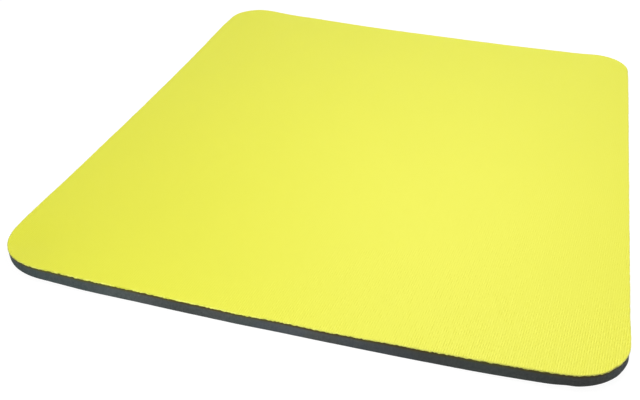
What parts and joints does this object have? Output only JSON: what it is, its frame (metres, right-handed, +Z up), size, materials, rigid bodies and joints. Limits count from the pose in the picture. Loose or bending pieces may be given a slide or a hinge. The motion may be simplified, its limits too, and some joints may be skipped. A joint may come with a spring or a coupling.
{
  "type": "mouse pad",
  "caption": "Rectangular cloth-topped foam mouse pad with round corners that curl up slightly; lies flat on a desk as a glide surface.",
  "frame": {"origin": "middle of the underside, on the desk", "axes": "+X along the long side, +Y along the short side away from the user, +Z up"},
  "size_m": [0.25, 0.2, 0.0063],
  "materials": {
    "cloth": "matte",
    "film": "satin",
    "foam": "matte"
  },
  "bodies": {
    "root": {"cloth_top": "cloth", "bond_film": "film", "foam_base": "foam"}
  },
  "joints": []
}
